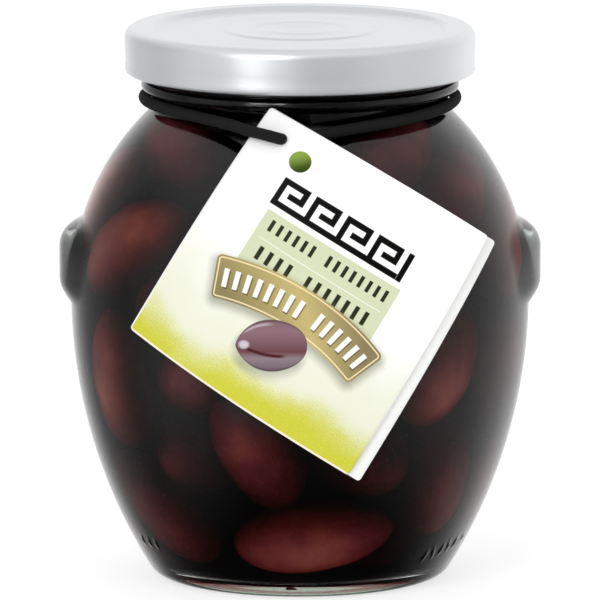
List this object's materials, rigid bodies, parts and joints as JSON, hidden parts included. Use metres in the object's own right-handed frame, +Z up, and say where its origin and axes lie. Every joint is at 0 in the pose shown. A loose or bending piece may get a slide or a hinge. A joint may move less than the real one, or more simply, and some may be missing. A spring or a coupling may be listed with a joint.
{
  "type": "jar of olives",
  "caption": "Closed round-bellied glass jar of dark olives in brine, with a silver twist-off lid and a folded card tag on an elastic neck cord.",
  "frame": {"origin": "middle of the ring that the jar stands on, on the ground", "axes": "+Z up through the lid, -Y towards the side with the tag, +X to the right ear as seen from the tag's side"},
  "size_m": [0.0914, 0.0881, 0.105],
  "materials": {
    "clear_glass": "polished",
    "brine": "liquid, dark and clear",
    "olive": "wet skin",
    "lid_metal": "satin silver lacquer",
    "elastic": "matte braid",
    "card": "smooth coated"
  },
  "bodies": {
    "root": {"jar": "clear_glass", "brine": "brine", "lid": "lid_metal", "cord": "elastic", "tag": "card"}
  },
  "joints": []
}
